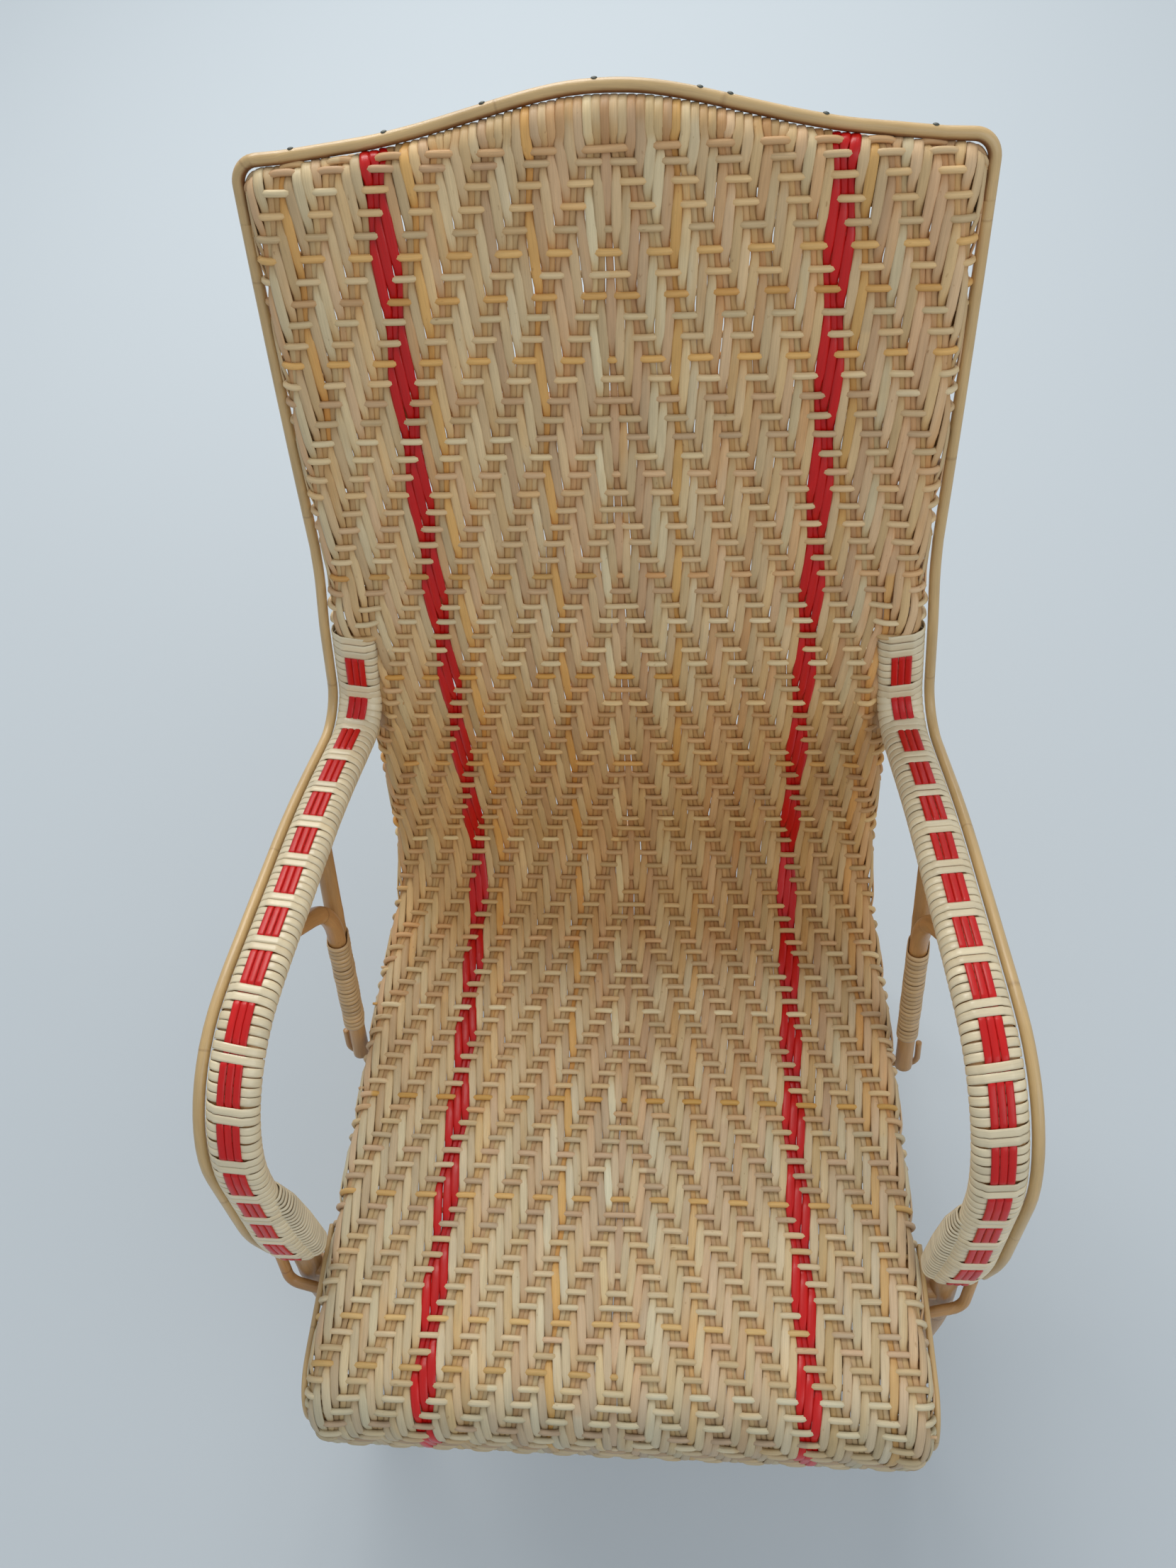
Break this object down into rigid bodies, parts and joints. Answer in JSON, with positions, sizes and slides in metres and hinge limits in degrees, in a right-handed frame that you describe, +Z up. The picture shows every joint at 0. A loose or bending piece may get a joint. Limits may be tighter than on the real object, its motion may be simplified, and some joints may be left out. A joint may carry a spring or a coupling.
{
  "type": "rattan armchair",
  "caption": "High-backed armchair of woven rattan: one mat forms back and seat, with a serpentine crest, red stripes and cane-wrapped arms on bent poles.",
  "frame": {"origin": "on the floor under the middle of the chair's box", "axes": "+Z up along the chair's height, +Y to the back of the chair, +X to the right as seen from the front, square to the plane of symmetry"},
  "size_m": [0.554, 0.675, 0.9644],
  "materials": {
    "woven_reed": "satin",
    "frame_pole": "satin",
    "strut_rod": "satin",
    "trim_rod": "satin",
    "cane_wrap": "satin",
    "red_strand": "gloss",
    "nail_steel": "satin"
  },
  "bodies": {
    "root": {"arm_brace_left": "strut_rod", "arm_brace_right": "strut_rod", "arm_inlay_left": "red_strand", "arm_inlay_right": "red_strand", "arm_pole_inner_left": "frame_pole", "arm_pole_inner_right": "frame_pole", "arm_pole_outer_left": "frame_pole", "arm_pole_outer_right": "frame_pole", "arm_post_left": "strut_rod", "arm_post_right": "strut_rod", "arm_trim_left": "trim_rod", "arm_trim_right": "trim_rod", "arm_wrap_left": "cane_wrap", "arm_wrap_right": "cane_wrap", "back_lower_rail": "frame_pole", "back_middle_rail": "frame_pole", "back_trim_left": "trim_rod", "back_trim_right": "trim_rod", "back_upper_rail": "frame_pole", "crest_rail": "frame_pole", "crest_trim": "trim_rod", "front_cross_rail": "frame_pole", "front_leg_left": "frame_pole", "front_leg_right": "frame_pole", "front_stretcher": "frame_pole", "joint_binding_left": "cane_wrap", "joint_binding_right": "cane_wrap", "joint_hook_left": "strut_rod", "joint_hook_right": "strut_rod", "lower_front_rail": "frame_pole", "mat_edge": "woven_reed", "post_binding_left": "cane_wrap", "post_binding_right": "cane_wrap", "post_tie_left": "strut_rod", "post_tie_right": "strut_rod", "rear_cross_rail": "frame_pole", "rear_leg_left": "frame_pole", "rear_leg_right": "frame_pole", "rear_stretcher": "frame_pole", "seat_front_rail": "frame_pole", "seat_middle_rail": "frame_pole", "seat_rear_rail": "frame_pole", "seat_trim_left": "trim_rod", "seat_trim_right": "trim_rod", "side_rail_left": "frame_pole", "side_rail_right": "frame_pole", "side_stretcher_left": "frame_pole", "side_stretcher_right": "frame_pole", "trim_nails": "nail_steel", "woven_mat": "woven_reed"}
  },
  "joints": []
}
